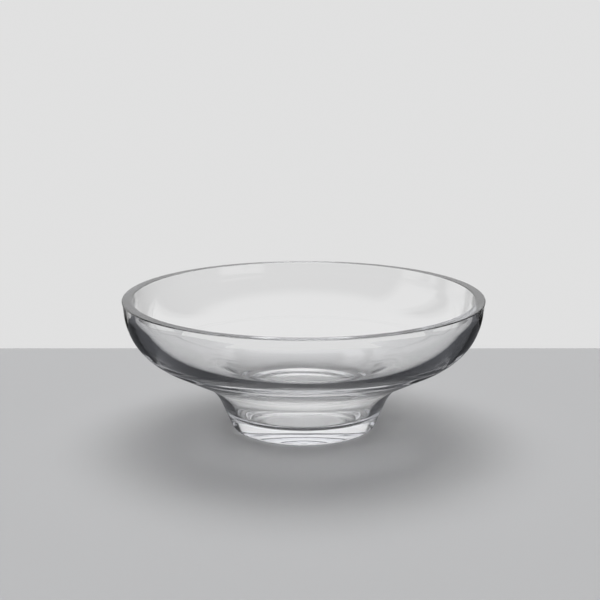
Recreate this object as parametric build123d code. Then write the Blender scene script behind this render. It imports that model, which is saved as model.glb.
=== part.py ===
from build123d import *
import math
import os

# Clear glass bowl for floating candles: a shallow bowl that runs down through a neck into a hollow,
# flared foot, all one piece of glass. Millimetres, +Z up, origin at the centre of the base.

# Outside of the bowl. The three heights stack up from the table to the rim.
rim_diameter = 254.0
wall_height = 32.6          # upright wall, from the belly's corner up to the rim
wall_lean = 3.5             # how far the wall leans out over its height
underside_height = 31.0     # sloping underside, from the neck's corner up to the belly's corner
foot_height = 31.4          # flared foot, from the table up to the neck's corner
foot_diameter = 100.3       # at the table, before its edge is rounded
foot_flare = 13.8           # how far the foot leans out over its height
belly_radius = 43.0         # rounding between the underside and the wall
neck_radius = 36.0          # hollow curve between the foot and the underside
foot_edge_radius = 4.5
rim_edge_radius = 0.7       # polished edges of the flat rim

# Thickness of the glass, nearly even all the way down.
rim_wall = 7.0
underside_wall = 8.2
neck_wall = 7.9
foot_wall = 8.0             # level with the edge of the floor
base_thickness = 8.0        # at the centre, between the floor and the hollow under it

# Roundings of the inside, and the floor, which the hollow under it pushes up in the middle.
belly_inside_radius = 39.0
neck_inside_radius = 52.0
floor_edge_radius = 7.5
floor_crown_radius = 130.0
floor_rise = 5.7            # from the floor's edge up to its middle

# Domed hollow under the base, which leaves a ring to stand on.
hollow_depth = 9.0
hollow_inset = 10.7         # from the foot's edge, before rounding, in to the hollow

# Share of a straight stretch that the roundings at its two ends may take up.
rounding_share = 0.98


def turn_between(before, corner, after):
    """Angle in radians by which a line turns at its corner."""
    return math.radians((corner - before).get_angle(after - corner))


def inside_corner(before, corner, after, thickness_before, thickness_after):
    """The corner of the same two lines, each moved into the bowl by the glass thickness there."""
    way_in = (corner - before).normalized()
    way_out = (after - corner).normalized()
    return corner + (way_out * thickness_before - way_in * thickness_after) / way_in.cross(way_out).Z


def roundings_that_fit(points, radii):
    """The radii, each limited by the straight stretches on both sides of its corner."""
    corners = zip(points, points[1:], points[2:])
    tangents = [math.tan(turn_between(*corner) / 2) for corner in corners]
    used = [0.0] + [radius * tangent for radius, tangent in zip(radii, tangents)] + [0.0]
    shares = []
    for start, end, used_start, used_end in zip(points, points[1:], used, used[1:]):
        room = rounding_share * (end - start).length
        shares.append(room / max(used_start + used_end, room))
    return [radius * min(share) for radius, share in zip(radii, zip(shares, shares[1:]))]


# Corners of the outside, as radius and height.
rim_outside = Vector(rim_diameter / 2, foot_height + underside_height + wall_height)
belly = Vector(rim_outside.X - wall_lean, foot_height + underside_height)
foot_edge = Vector(foot_diameter / 2, 0)
neck = Vector(foot_edge.X + foot_flare, foot_height)
hollow_edge = Vector(foot_edge.X - hollow_inset, 0)
hollow_top = Vector(0, hollow_depth)

# Corners of the inside, which follow the outside by the thickness of the glass.
wall_angle = math.atan2(wall_height, wall_lean)
rim_inside = Vector(rim_outside.X - rim_wall / math.sin(wall_angle), rim_outside.Y)
belly_inside = inside_corner(neck, belly, rim_outside, underside_wall, rim_wall)
neck_inside = inside_corner(foot_edge, neck, belly, neck_wall, underside_wall)
floor_centre = Vector(0, hollow_depth + base_thickness)
floor_low = floor_centre.Y - floor_rise
foot_at_floor = foot_edge.X + foot_flare * floor_low / foot_height
floor_edge = Vector(foot_at_floor - foot_wall, floor_low)
floor_crown = Vector(floor_edge.X / 2, floor_centre.Y)

section = [
    hollow_edge,
    foot_edge,
    neck,
    belly,
    rim_outside,
    rim_inside,
    belly_inside,
    neck_inside,
    floor_edge,
    floor_crown,
    floor_centre,
]
section_radii = [
    foot_edge_radius,
    neck_radius,
    belly_radius,
    rim_edge_radius,
    rim_edge_radius,
    belly_inside_radius,
    neck_inside_radius,
    floor_edge_radius,
    floor_crown_radius,
]

# Glass bowl: half of the section, turned once about the axis.
with BuildPart() as glass_bowl:
    with BuildSketch(Plane.XZ):
        with BuildLine():
            FilletPolyline(*section, radius=roundings_that_fit(section, section_radii))
            Line(floor_centre, hollow_top)
            TangentArc(hollow_top, hollow_edge, tangent=(1, 0))
        make_face()
    revolve(axis=Axis.Z)

glass_bowl.part.label = "glass_bowl"
os.makedirs("parts", exist_ok=True)
export_step(glass_bowl.part, "parts/glass_bowl.step")
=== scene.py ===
import math

import bmesh
import bpy
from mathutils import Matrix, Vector, noise


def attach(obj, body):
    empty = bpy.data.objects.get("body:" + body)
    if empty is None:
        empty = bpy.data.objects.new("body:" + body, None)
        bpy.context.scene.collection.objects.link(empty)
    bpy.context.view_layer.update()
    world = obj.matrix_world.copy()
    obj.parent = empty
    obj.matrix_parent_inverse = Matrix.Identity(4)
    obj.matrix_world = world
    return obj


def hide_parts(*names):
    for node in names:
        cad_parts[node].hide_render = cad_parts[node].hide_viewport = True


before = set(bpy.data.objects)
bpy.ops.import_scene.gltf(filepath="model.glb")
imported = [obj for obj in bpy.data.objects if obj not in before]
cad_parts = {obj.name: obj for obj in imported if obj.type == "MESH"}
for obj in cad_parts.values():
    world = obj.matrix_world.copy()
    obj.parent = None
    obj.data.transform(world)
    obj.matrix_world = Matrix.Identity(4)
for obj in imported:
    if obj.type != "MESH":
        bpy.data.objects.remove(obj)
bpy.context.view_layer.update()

# Section of the bowl, in metres: the driving sizes of the solid, with the rim a hair inside its box.
RIM_DIAMETER = 0.25392
WALL_HEIGHT = 0.03259
WALL_LEAN = 0.0035
UNDERSIDE_HEIGHT = 0.031
FOOT_HEIGHT = 0.0314
RIM_HEIGHT = FOOT_HEIGHT + UNDERSIDE_HEIGHT + WALL_HEIGHT
FOOT_DIAMETER = 0.1003
FOOT_FLARE = 0.0138
BELLY_RADIUS = 0.043
NECK_RADIUS = 0.036
FOOT_EDGE_RADIUS = 0.0045
RIM_EDGE_RADIUS = 0.0007
RIM_WALL = 0.007
UNDERSIDE_WALL = 0.0082
NECK_WALL = 0.0079
FOOT_WALL = 0.008
BASE_THICKNESS = 0.008
BELLY_INSIDE_RADIUS = 0.039
NECK_INSIDE_RADIUS = 0.052
FLOOR_EDGE_RADIUS = 0.0075
FLOOR_CROWN_RADIUS = 0.13
FLOOR_RISE = 0.0057
HOLLOW_DEPTH = 0.009
HOLLOW_INSET = 0.0107

# Unevenness of the worked glass, which bends what is seen through it: broad waves in both faces, and
# faint turning rings inside. The rim and the standing ring stay true.
WAVE_INSIDE = 0.0001
WAVE_OUTSIDE = 0.00008
WAVE_LENGTH = 0.045
OTHER_WAVES = Vector((0, 0, 7))     # moves the noise, so that the two faces differ
RING_DEPTH = 0.000002
RING_SPACING = 0.0043
TRUE_EDGE = 0.003
TRUE_FADE = 0.012

# Fineness of the glass mesh, and how nearly level with the rim a point of it counts as on it.
SIDES = 256
ARC_STEP = math.radians(3)
RUN_STEP = 0.0013
LEVEL = 1e-6

# Clear glass: its refraction, its faint tint by the metre, and how rough the ground rim is. The rim's
# roughness varies with fine scratches, between the two noise values.
GLASS_IOR = 1.52
TINT_DENSITY = 2.0
TINT = (0.6, 0.63, 0.74, 1.0)
RIM_GROUND = 0.18
RIM_BAND = 0.0003
SCRATCH_SCALE = 900.0
SCRATCH_DETAIL = 2.0
SCRATCH_LOW = 0.2
SCRATCH_HIGH = 0.8

# Camera of the photograph: its place, tilt and lens, and where the bowl's axis stands in the picture.
PICTURE = 600
CAMERA_BACK = 0.8933
CAMERA_HEIGHT = 0.2921
CAMERA_TILT = math.radians(12.66)
FOCAL_PIXELS = 1300
AXIS_PIXEL = 303.6
SENSOR = 36.0

# Pale table, with its back edge behind the bowl.
TABLE_BACK = 0.218
TABLE_FRONT = -1.2
TABLE_SIDE = 1.0
TABLE_THICK = 0.03
TABLE_EDGE = 0.004
TABLE_EDGE_STEPS = 4
TABLE_GAP = 0.0003
TABLE_ROUGHNESS = 0.6
TABLE_TONE = 0.42
TABLE_BLUE = 0.01           # more in blue than in red, and a quarter of it in green

# The table as the glass shows it: plain tones with painted light, paler in the middle than out to the
# sides, and painted shade.
PAINTED_LIGHT_MIDDLE = 0.64
PAINTED_LIGHT_SIDES = 0.46
TABLE_SHADED = 0.06
SIDES_SHADED = 0.02
MIDDLE_TO = 0.05
SIDES_FROM = 0.11

# Shade round the foot: a ring that fades in and out by its radius, and away behind the bowl.
SHADE_INNER = 0.026
SHADE_RING = 0.032
SHADE_OUTER = 0.05
SHADE_ENDS = 0.07
SHADE_FRONT = -0.03
SHADE_BACK = 0.026
SHADE_LEAN = 0.35

# Shade that only rays reflected by the glass see: all the table outside an oval, but not behind the bowl.
TURNED_INNER = 0.062
TURNED_OUTER = 0.074
TURNED_ACROSS = 1.4
TURNED_LEAN = 0.85
TURNED_FRONT = 0.02
TURNED_BACK = 0.05

# Surroundings: a pale backdrop for the camera and, in the glass, dark gaps between bright panels that
# draw its edges. A panel is a centre and a half width in degrees, and a height is the sine of its angle.
PALE = 0.75
HIGH_PALE = 0.92
OVERHEAD = 1.0
GAP = 0.02
LOW_PANELS = ((0, 12), (-45, 12), (-90, 12), (135, 12))
HIGH_PANELS = ((0, 48), (-90, 12))
LOW_FADE = 8
HIGH_FADE = 12
LOW_TO = 0.02
HIGH_FROM = 0.12
HIGH_TO = 0.6
OVERHEAD_FROM = 0.85

# Soft lamp above and behind the bowl, which lights the table.
AMBIENT = 0.2
LAMP = 6.0
LAMP_HEIGHT = math.radians(68)
LAMP_INNER = math.radians(10)
LAMP_OUTER = math.radians(32)

# How often light may turn on its way. A ray's count of turns is over ANY_TURN from its first one.
BOUNCES = 24
GLOSSY_BOUNCES = 16
ANY_TURN = 0.5


def smooth_step(value, low, high):
    """0 up to low and 1 from high on, with a smooth rise between them."""
    share = min(max((value - low) / (high - low), 0.0), 1.0)
    return share * share * (3 - 2 * share)


def corner_inside(before, corner, after, thickness_before, thickness_after):
    """The corner of two lines of the section, each moved into the bowl by its glass thickness."""
    way_in = (corner - before).normalized()
    way_out = (after - corner).normalized()
    return corner + (way_out * thickness_before - way_in * thickness_after) / way_in.cross(way_out)


def straight(start, end):
    """Points after start, up to end, evenly spaced."""
    count = max(1, math.ceil((end - start).length / RUN_STEP))
    return [start.lerp(end, k / count) for k in range(1, count + 1)]


def rounded(points, radii):
    """A line through the points with its corners rounded, as closely spaced points."""
    line = [points[0]]
    for before, corner, after, radius in zip(points, points[1:], points[2:], radii):
        back = (before - corner).normalized()
        ahead = (after - corner).normalized()
        half = back.angle(ahead) / 2
        start = corner + back * radius / math.tan(half)
        centre = corner + (back + ahead).normalized() * radius / math.sin(half)
        turn = math.pi - 2 * half
        count = math.ceil(max(turn / ARC_STEP, turn * radius / RUN_STEP))
        if back.cross(ahead) > 0:
            turn = -turn
        line += straight(line[-1], start)
        spoke = start - centre
        for k in range(1, count + 1):
            angle = turn * k / count
            cos, sin = math.cos(angle), math.sin(angle)
            turned = Vector((spoke.x * cos - spoke.y * sin, spoke.x * sin + spoke.y * cos))
            line.append(centre + turned)
    return line + straight(line[-1], points[-1])


def hollow_under_base(edge, depth):
    """The dome under the base, from the axis out to its edge."""
    radius = (edge.x ** 2 + depth ** 2) / (2 * depth)
    widest = math.asin(edge.x / radius)
    count = math.ceil(edge.x / RUN_STEP)
    angles = [widest * k / count for k in range(count)]
    return [Vector((radius * math.sin(a), depth - radius + radius * math.cos(a))) for a in angles]


def section_of_glass():
    """The closed section as (radius, height) points, from the hollow's top round to the floor's centre."""
    rim_outside = Vector((RIM_DIAMETER / 2, RIM_HEIGHT))
    belly = Vector((rim_outside.x - WALL_LEAN, FOOT_HEIGHT + UNDERSIDE_HEIGHT))
    foot_edge = Vector((FOOT_DIAMETER / 2, 0))
    neck = Vector((foot_edge.x + FOOT_FLARE, FOOT_HEIGHT))
    hollow_edge = Vector((foot_edge.x - HOLLOW_INSET, 0))
    rim_inside = rim_outside - Vector((RIM_WALL / math.sin(math.atan2(WALL_HEIGHT, WALL_LEAN)), 0))
    belly_inside = corner_inside(neck, belly, rim_outside, UNDERSIDE_WALL, RIM_WALL)
    neck_inside = corner_inside(foot_edge, neck, belly, NECK_WALL, UNDERSIDE_WALL)
    floor_centre = Vector((0, HOLLOW_DEPTH + BASE_THICKNESS))
    floor_low = floor_centre.y - FLOOR_RISE
    foot_at_floor = foot_edge.x + FOOT_FLARE * floor_low / FOOT_HEIGHT
    floor_edge = Vector((foot_at_floor - FOOT_WALL, floor_low))
    floor_crown = Vector((floor_edge.x / 2, floor_centre.y))
    points = [hollow_edge, foot_edge, neck, belly, rim_outside, rim_inside]
    points += [belly_inside, neck_inside, floor_edge, floor_crown, floor_centre]
    radii = [FOOT_EDGE_RADIUS, NECK_RADIUS, BELLY_RADIUS, RIM_EDGE_RADIUS, RIM_EDGE_RADIUS]
    radii += [BELLY_INSIDE_RADIUS, NECK_INSIDE_RADIUS, FLOOR_EDGE_RADIUS, FLOOR_CROWN_RADIUS]
    return hollow_under_base(hollow_edge, HOLLOW_DEPTH) + rounded(points, radii)


def unevenness(place, inside, along):
    """How far the glass stands out from its true face at a place. The outside only ever dips in."""
    free = smooth_step(place.z, TRUE_EDGE, TRUE_FADE)
    free *= smooth_step(RIM_HEIGHT - place.z, TRUE_EDGE, TRUE_FADE)
    if not inside:
        return free * WAVE_OUTSIDE * (noise.noise(place / WAVE_LENGTH) - 1) / 2
    wave = noise.noise(place / WAVE_LENGTH + OTHER_WAVES)
    ring = math.sin(2 * math.pi * along / RING_SPACING) * (1 + wave)
    return free * (WAVE_INSIDE * wave + RING_DEPTH * ring)


def turned_mesh(name, section):
    """A closed mesh of the section turned about Z. Its first and last points lie on the axis."""
    vertices = [(0, 0, section[0].y)]
    rim_ends = [k for k, point in enumerate(section) if point.y > RIM_HEIGHT - LEVEL][-1]
    along = 0.0
    for k in range(1, len(section) - 1):
        along += (section[k] - section[k - 1]).length
        tangent = (section[k + 1] - section[k - 1]).normalized()
        for side in range(SIDES):
            angle = 2 * math.pi * side / SIDES
            cos, sin = math.cos(angle), math.sin(angle)
            place = Vector((section[k].x * cos, section[k].x * sin, section[k].y))
            out = Vector((tangent.y * cos, tangent.y * sin, -tangent.x))
            vertices.append(place + out * unevenness(place, k > rim_ends, along))
    last = len(vertices)
    vertices.append((0, 0, section[-1].y))
    faces = []
    rings = len(section) - 2
    for side in range(SIDES):
        after = (side + 1) % SIDES
        faces.append((0, 1 + after, 1 + side))
        for ring in range(rings - 1):
            low = 1 + ring * SIDES
            high = low + SIDES
            faces.append((low + side, low + after, high + after, high + side))
        top = 1 + (rings - 1) * SIDES
        faces.append((top + side, top + after, last))
    mesh = bpy.data.meshes.new(name)
    mesh.from_pydata(vertices, [], faces)
    mesh.shade_smooth()
    return mesh


def ramp(tree, source, low, high, to_low=0.0, to_high=1.0):
    """A smooth step of a value, from to_low at low to to_high at high."""
    made = tree.nodes.new("ShaderNodeMapRange")
    made.interpolation_type = "SMOOTHSTEP"
    for name, value in zip(("From Min", "From Max", "To Min", "To Max"), (low, high, to_low, to_high)):
        made.inputs[name].default_value = value
    tree.links.new(source, made.inputs["Value"])
    return made.outputs["Result"]


def feed(tree, socket, value):
    """Give a socket its value: a number, or the output of another node."""
    if isinstance(value, (int, float)):
        socket.default_value = value
    else:
        tree.links.new(value, socket)


def split(tree, vector):
    """The X, Y and Z outputs of a vector."""
    made = tree.nodes.new("ShaderNodeSeparateXYZ")
    tree.links.new(vector, made.inputs[0])
    return made.outputs["X"], made.outputs["Y"], made.outputs["Z"]


def math_node(tree, operation, *values):
    """One step of arithmetic on numbers or outputs."""
    made = tree.nodes.new("ShaderNodeMath")
    made.operation = operation
    for socket, value in zip(made.inputs, values):
        feed(tree, socket, value)
    return made.outputs[0]


def length(tree, first, second):
    """The length of a line with two sides at right angles."""
    squares = [math_node(tree, "MULTIPLY", side, side) for side in (first, second)]
    return math_node(tree, "SQRT", math_node(tree, "ADD", *squares))


def blend(tree, factor, first, second):
    """A mix of two numbers or outputs: the first at factor 0 and the second at 1."""
    made = tree.nodes.new("ShaderNodeMix")
    for name, value in (("Factor", factor), ("A", first), ("B", second)):
        feed(tree, made.inputs[name], value)
    return made.outputs["Result"]


def noise_node(tree, place, scale, detail):
    made = tree.nodes.new("ShaderNodeTexNoise")
    made.inputs["Scale"].default_value = scale
    made.inputs["Detail"].default_value = detail
    tree.links.new(place, made.inputs["Vector"])
    return made.outputs["Fac"]


def new_material(name):
    """A material with its node tree, its shader and the place on the object."""
    material = bpy.data.materials.new(name)
    material.use_nodes = True
    tree = material.node_tree
    place = tree.nodes.new("ShaderNodeTexCoord").outputs["Object"]
    return material, tree, tree.nodes["Principled BSDF"], place


def clear_glass():
    """Fire-polished glass with a faint tint, and a finely ground flat rim."""
    material, tree, shader, place = new_material("clear_glass")
    shader.inputs["Base Color"].default_value = (1.0, 1.0, 1.0, 1.0)
    shader.inputs["IOR"].default_value = GLASS_IOR
    shader.inputs["Transmission Weight"].default_value = 1.0

    _, _, height = split(tree, place)
    on_rim = ramp(tree, height, RIM_HEIGHT - RIM_BAND, RIM_HEIGHT - RIM_BAND / 3)
    scratches = noise_node(tree, place, SCRATCH_SCALE, SCRATCH_DETAIL)
    ground = ramp(tree, scratches, SCRATCH_LOW, SCRATCH_HIGH, RIM_GROUND / 2, RIM_GROUND)
    tree.links.new(math_node(tree, "MULTIPLY", on_rim, ground), shader.inputs["Roughness"])

    tint = tree.nodes.new("ShaderNodeVolumeAbsorption")
    tint.inputs["Color"].default_value = TINT
    tint.inputs["Density"].default_value = TINT_DENSITY
    tree.links.new(tint.outputs["Volume"], tree.nodes["Material Output"].inputs["Volume"])
    return material


def add(name, data):
    item = bpy.data.objects.new(name, data)
    bpy.context.scene.collection.objects.link(item)
    return item


def make_bowl():
    bowl = add("blown_glass_bowl", turned_mesh("blown_glass_bowl", section_of_glass()))
    bowl.data.materials.append(clear_glass())
    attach(bowl, "root")
    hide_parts("glass_bowl")


def make_camera():
    camera = add("camera", bpy.data.cameras.new("camera"))
    camera.data.sensor_width = SENSOR
    camera.data.lens = SENSOR * FOCAL_PIXELS / PICTURE
    camera.data.shift_x = (PICTURE / 2 - AXIS_PIXEL) / PICTURE
    camera.location = (0, -CAMERA_BACK, CAMERA_HEIGHT)
    camera.rotation_euler = (math.pi / 2 - CAMERA_TILT, 0, 0)
    bpy.context.scene.camera = camera


def panels(tree, azimuth, places, fade):
    """1 in front of the panels and 0 between them, by azimuth. Each place is a centre and a half width."""
    bright = 0.0
    for centre, half in places:
        wave = math_node(tree, "COSINE", math_node(tree, "SUBTRACT", azimuth, math.radians(centre)))
        edge = math.cos(math.radians(half + fade))
        bright = math_node(tree, "MAXIMUM", bright, ramp(tree, wave, edge, math.cos(math.radians(half))))
    return bright


def seen_in_glass(tree):
    """Light Path outputs, with 1 for a ray that the camera sees in the glass and 0 for the others."""
    path = tree.nodes.new("ShaderNodeLightPath")
    seen = math_node(tree, "MAXIMUM", path.outputs["Is Glossy Ray"], path.outputs["Is Transmission Ray"])
    from_table = math_node(tree, "GREATER_THAN", path.outputs["Diffuse Depth"], ANY_TURN)
    return path, ramp(tree, math_node(tree, "SUBTRACT", seen, from_table), 0, 1)


def make_world():
    world = bpy.data.worlds.new("studio")
    world.use_nodes = True
    bpy.context.scene.world = world
    tree = world.node_tree
    shader = tree.nodes["Background"]
    direction = tree.nodes.new("ShaderNodeTexCoord").outputs["Generated"]
    across, back, height = split(tree, direction)
    azimuth = math_node(tree, "ARCTAN2", across, back)

    low = ramp(tree, panels(tree, azimuth, LOW_PANELS, LOW_FADE), 0, 1, GAP, PALE)
    high = ramp(tree, panels(tree, azimuth, HIGH_PANELS, HIGH_FADE), 0, 1, GAP, HIGH_PALE)
    around = blend(tree, ramp(tree, height, LOW_TO, HIGH_FROM), low, high)
    around = blend(tree, ramp(tree, height, HIGH_TO, OVERHEAD_FROM), around, OVERHEAD)

    toward = tree.nodes.new("ShaderNodeVectorMath")
    toward.operation = "DOT_PRODUCT"
    tree.links.new(direction, toward.inputs[0])
    toward.inputs[1].default_value = (0, math.cos(LAMP_HEIGHT), math.sin(LAMP_HEIGHT))
    light = ramp(tree, toward.outputs["Value"], math.cos(LAMP_OUTER), math.cos(LAMP_INNER), AMBIENT, LAMP)

    # The table is lit by the soft lamp, also through the glass. The glass shows the panels, and the
    # camera the plain backdrop.
    path, in_glass = seen_in_glass(tree)
    shown = blend(tree, in_glass, light, around)
    shown = blend(tree, path.outputs["Is Camera Ray"], shown, PALE)
    tree.links.new(shown, shader.inputs["Strength"])
    shader.inputs["Color"].default_value = (1.0, 1.0, 1.0, 1.0)


def in_front(tree, aside, back, lean, front, behind):
    """1 in front of a line that leans back to both sides of the bowl, and 0 behind it."""
    past = math_node(tree, "SUBTRACT", back, math_node(tree, "MULTIPLY", aside, lean))
    return ramp(tree, past, behind, front)


def table_material():
    """Pale table. In the glass it has painted light, paler in the middle, and is shaded round the foot,
    and to rays that the glass reflects.
    """
    material, tree, shader, place = new_material("pale_table")
    across, back, _ = split(tree, place)
    aside = math_node(tree, "ABSOLUTE", across)
    path, in_glass = seen_in_glass(tree)

    out = length(tree, across, back)
    ring = ramp(tree, out, SHADE_INNER, SHADE_RING)
    shade = math_node(tree, "MULTIPLY", ring, ramp(tree, out, SHADE_ENDS, SHADE_OUTER))
    front = in_front(tree, aside, back, SHADE_LEAN, SHADE_FRONT, SHADE_BACK)
    shade = math_node(tree, "MULTIPLY", shade, front)

    turned = math_node(tree, "GREATER_THAN", path.outputs["Glossy Depth"], ANY_TURN)
    farther = length(tree, math_node(tree, "MULTIPLY", across, TURNED_ACROSS), back)
    turned = math_node(tree, "MULTIPLY", turned, ramp(tree, farther, TURNED_INNER, TURNED_OUTER))
    front = in_front(tree, aside, back, TURNED_LEAN, TURNED_FRONT, TURNED_BACK)
    turned = math_node(tree, "MULTIPLY", turned, front)

    # Painted light in the glass: the plain tone is paler in the middle than out to the sides.
    pale = ramp(tree, aside, MIDDLE_TO, SIDES_FROM, PAINTED_LIGHT_MIDDLE, PAINTED_LIGHT_SIDES)
    shaded = ramp(tree, aside, MIDDLE_TO, SIDES_FROM, TABLE_SHADED, SIDES_SHADED)
    shown = blend(tree, math_node(tree, "MAXIMUM", shade, turned), pale, shaded)
    tone = blend(tree, in_glass, TABLE_TONE, shown)
    colour = tree.nodes.new("ShaderNodeCombineColor")
    for channel, more in zip(colour.inputs, (0.0, TABLE_BLUE / 4, TABLE_BLUE)):
        tree.links.new(math_node(tree, "ADD", tone, more), channel)
    tree.links.new(colour.outputs[0], shader.inputs["Base Color"])
    shader.inputs["Roughness"].default_value = TABLE_ROUGHNESS
    return material


def make_table():
    mesh = bpy.data.meshes.new("table")
    shape = bmesh.new()
    bmesh.ops.create_cube(shape, size=1.0)
    size = Vector((2 * TABLE_SIDE, TABLE_BACK - TABLE_FRONT, TABLE_THICK))
    bmesh.ops.scale(shape, vec=size, verts=shape.verts)
    middle = Vector((0, (TABLE_BACK + TABLE_FRONT) / 2, -TABLE_GAP - TABLE_THICK / 2))
    bmesh.ops.translate(shape, vec=middle, verts=shape.verts)
    round_profile = 0.5
    bmesh.ops.bevel(
        shape,
        geom=shape.edges[:],
        offset=TABLE_EDGE,
        segments=TABLE_EDGE_STEPS,
        profile=round_profile,
        affect="EDGES",
    )
    shape.to_mesh(mesh)
    shape.free()
    mesh.materials.append(table_material())
    add("table", mesh)


make_camera()
make_world()
make_table()
make_bowl()

scene = bpy.context.scene
scene.view_settings.view_transform = "Standard"
scene.cycles.max_bounces = BOUNCES
scene.cycles.glossy_bounces = GLOSSY_BOUNCES
scene.cycles.transmission_bounces = BOUNCES
